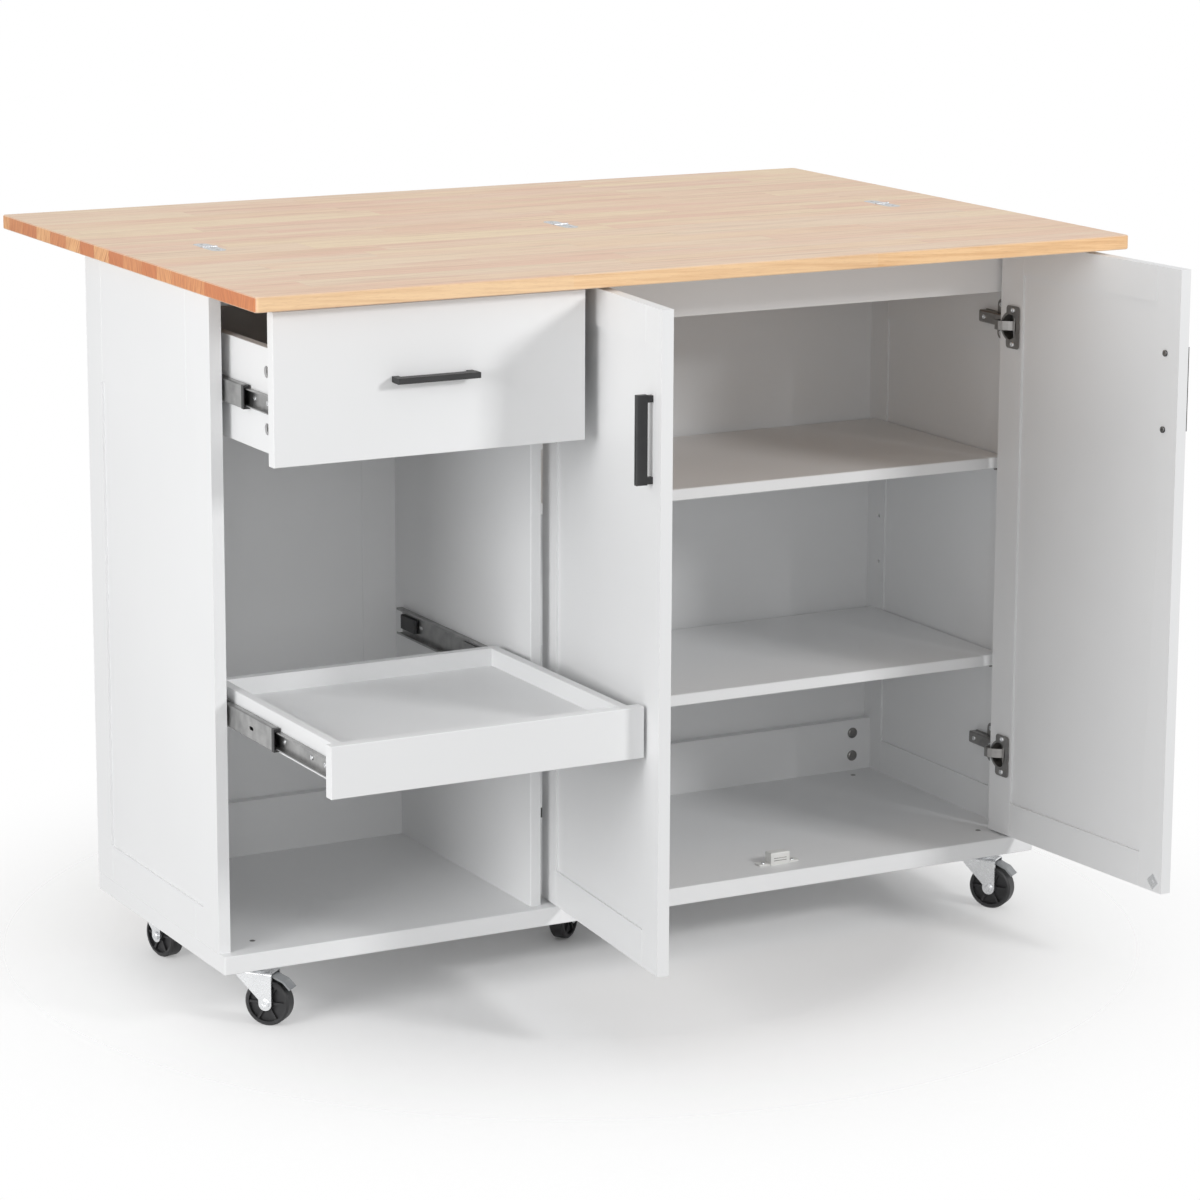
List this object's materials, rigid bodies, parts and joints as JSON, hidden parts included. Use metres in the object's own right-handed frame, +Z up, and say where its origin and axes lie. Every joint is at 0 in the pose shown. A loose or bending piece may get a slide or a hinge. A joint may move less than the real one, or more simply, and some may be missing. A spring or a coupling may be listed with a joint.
{
  "type": "rolling kitchen island",
  "caption": "Rolling kitchen island with a sliding fold-over butcher block top, drawer, pull-out tray, shaker cupboard doors, shelves and swivel casters.",
  "frame": {"origin": "on the floor, midway between the side panels and midway between their front and back edges", "axes": "+X to the viewer's right along the length, -Y to the front, +Z up"},
  "size_m": [1.2, 0.9832, 0.9269],
  "materials": {
    "painted_board": "smooth white paint on board",
    "butcher_block": "oiled butcher block",
    "slide_steel": "plain rolled steel",
    "hinge_zinc": "dark nickel plating",
    "bright_zinc": "bright zinc plating",
    "black_bar": "satin black",
    "black_plastic": "moulded",
    "pale_plastic": "moulded",
    "wheel_rubber": "moulded black",
    "pedal_grey": "moulded grey"
  },
  "bodies": {
    "cabinet": {"base_board": "painted_board", "left_side_panel": "painted_board", "right_side_panel": "painted_board", "divider": "painted_board", "back_panel": "painted_board", "back_rails": "painted_board", "front_top_rail": "painted_board", "shelf_upper": "painted_board", "shelf_lower": "painted_board", "carcass_fittings": "hinge_zinc", "door_catch": "pale_plastic", "top_guides": "slide_steel", "drawer_slide_outer": "slide_steel", "tray_slide_outer": "slide_steel", "slide_bumpers": "black_plastic", "left_hinge_arms": "hinge_zinc", "right_hinge_arms": "hinge_zinc", "caster_plates": "bright_zinc"},
    "top": {"worktop_front": "butcher_block", "top_runners": "slide_steel", "fold_hinge_fixed": "bright_zinc"},
    "leaf": {"worktop_leaf": "butcher_block", "fold_hinge_moving": "bright_zinc"},
    "drawer": {"drawer_front": "painted_board", "drawer_sides": "painted_board", "drawer_back": "painted_board", "drawer_floor": "painted_board", "drawer_handle": "black_bar", "drawer_slide_inner": "slide_steel"},
    "drawer_middle": {"drawer_slide_middle": "slide_steel", "drawer_slide_retainers": "black_plastic"},
    "tray": {"tray_front": "painted_board", "tray_sides": "painted_board", "tray_back": "painted_board", "tray_floor": "painted_board", "tray_slide_inner": "slide_steel"},
    "tray_middle": {"tray_slide_middle": "slide_steel", "tray_slide_retainers": "black_plastic"},
    "left_door": {"left_door_frame": "painted_board", "left_door_panel": "painted_board", "left_door_handle": "black_bar", "left_door_hinge_cups": "hinge_zinc", "left_door_strike": "bright_zinc"},
    "right_door": {"right_door_frame": "painted_board", "right_door_panel": "painted_board", "right_door_handle": "black_bar", "right_door_hinge_cups": "hinge_zinc", "right_door_strike": "bright_zinc"},
    "fork_front_left": {"caster_fork_front_left": "bright_zinc"},
    "wheel_front_left": {"caster_wheel_front_left": "wheel_rubber"},
    "pedal_front_left": {"caster_pedal_front_left": "pedal_grey"},
    "fork_front_right": {"caster_fork_front_right": "bright_zinc"},
    "wheel_front_right": {"caster_wheel_front_right": "wheel_rubber"},
    "pedal_front_right": {"caster_pedal_front_right": "pedal_grey"},
    "fork_rear_left": {"caster_fork_rear_left": "bright_zinc"},
    "wheel_rear_left": {"caster_wheel_rear_left": "wheel_rubber"},
    "fork_rear_right": {"caster_fork_rear_right": "bright_zinc"},
    "wheel_rear_right": {"caster_wheel_rear_right": "wheel_rubber"},
    "fork_centre": {"caster_fork_centre": "bright_zinc"},
    "wheel_centre": {"caster_wheel_centre": "wheel_rubber"}
  },
  "joints": [
    {"name": "top_slide", "type": "slide", "parent": "cabinet", "child": "top", "axis": [0, -1, 0], "range_m": [-0.155, 0]},
    {"name": "leaf_fold", "type": "hinge", "parent": "top", "child": "leaf", "pos_m": [0, 0.043, 0.9253], "axis": [1, 0, 0], "range_deg": [0, 180]},
    {"name": "drawer_slide", "type": "slide", "parent": "cabinet", "child": "drawer", "axis": [0, -1, 0], "range_m": [-0.145, 0.15]},
    {"name": "drawer_middle_slide", "type": "slide", "parent": "cabinet", "child": "drawer_middle", "axis": [0, -1, 0], "range_m": [-0.0725, 0.075]},
    {"name": "tray_slide", "type": "slide", "parent": "cabinet", "child": "tray", "axis": [0, -1, 0], "range_m": [-0.295, 0]},
    {"name": "tray_middle_slide", "type": "slide", "parent": "cabinet", "child": "tray_middle", "axis": [0, -1, 0], "range_m": [-0.1475, 0]},
    {"name": "left_door_hinge", "type": "hinge", "parent": "cabinet", "child": "left_door", "pos_m": [-0.1275, -0.191, 0.5], "axis": [0, 0, -1], "range_deg": [-95, 0]},
    {"name": "right_door_hinge", "type": "hinge", "parent": "cabinet", "child": "right_door", "pos_m": [0.5495, -0.191, 0.5], "axis": [0, 0, 1], "range_deg": [-94, 1]},
    {"name": "swivel_front_left", "type": "hinge", "parent": "cabinet", "child": "fork_front_left", "pos_m": [-0.528, -0.167, 0.07], "axis": [0, 0, 1], "continuous": true},
    {"name": "roll_front_left", "type": "hinge", "parent": "fork_front_left", "child": "wheel_front_left", "pos_m": [-0.51328, -0.18335, 0.029], "axis": [-0.7431, -0.6691, 0], "continuous": true},
    {"name": "brake_front_left", "type": "hinge", "parent": "fork_front_left", "child": "pedal_front_left", "pos_m": [-0.51729, -0.17889, 0.0622], "axis": [0.7431, 0.6691, 0], "range_deg": [0, 8]},
    {"name": "swivel_front_right", "type": "hinge", "parent": "cabinet", "child": "fork_front_right", "pos_m": [0.528, -0.167, 0.07], "axis": [0, 0, 1], "continuous": true},
    {"name": "roll_front_right", "type": "hinge", "parent": "fork_front_right", "child": "wheel_front_right", "pos_m": [0.54062, -0.18502, 0.029], "axis": [-0.8192, -0.5736, 0], "continuous": true},
    {"name": "brake_front_right", "type": "hinge", "parent": "fork_front_right", "child": "pedal_front_right", "pos_m": [0.53718, -0.18011, 0.0622], "axis": [0.8192, 0.5736, 0], "range_deg": [0, 8]},
    {"name": "swivel_rear_left", "type": "hinge", "parent": "cabinet", "child": "fork_rear_left", "pos_m": [-0.528, 0.15, 0.07], "axis": [0, 0, 1], "continuous": true},
    {"name": "roll_rear_left", "type": "hinge", "parent": "fork_rear_left", "child": "wheel_rear_left", "pos_m": [-0.52268, 0.12865, 0.029], "axis": [-0.9703, -0.2419, 0], "continuous": true},
    {"name": "swivel_rear_right", "type": "hinge", "parent": "cabinet", "child": "fork_rear_right", "pos_m": [0.528, 0.15, 0.07], "axis": [0, 0, 1], "continuous": true},
    {"name": "roll_rear_right", "type": "hinge", "parent": "fork_rear_right", "child": "wheel_rear_right", "pos_m": [0.53799, 0.1304, 0.029], "axis": [-0.891, -0.454, 0], "continuous": true},
    {"name": "swivel_centre", "type": "hinge", "parent": "cabinet", "child": "fork_centre", "pos_m": [-0.015, -0.025, 0.07], "axis": [0, 0, 1], "continuous": true},
    {"name": "roll_centre", "type": "hinge", "parent": "fork_centre", "child": "wheel_centre", "pos_m": [-0.03185, -0.03914, 0.029], "axis": [-0.6428, 0.766, 0], "continuous": true}
  ],
  "couplings": [
    {"joint": "drawer_middle_slide", "follows": "drawer_slide", "ratio": 0.5},
    {"joint": "tray_middle_slide", "follows": "tray_slide", "ratio": 0.5}
  ]
}
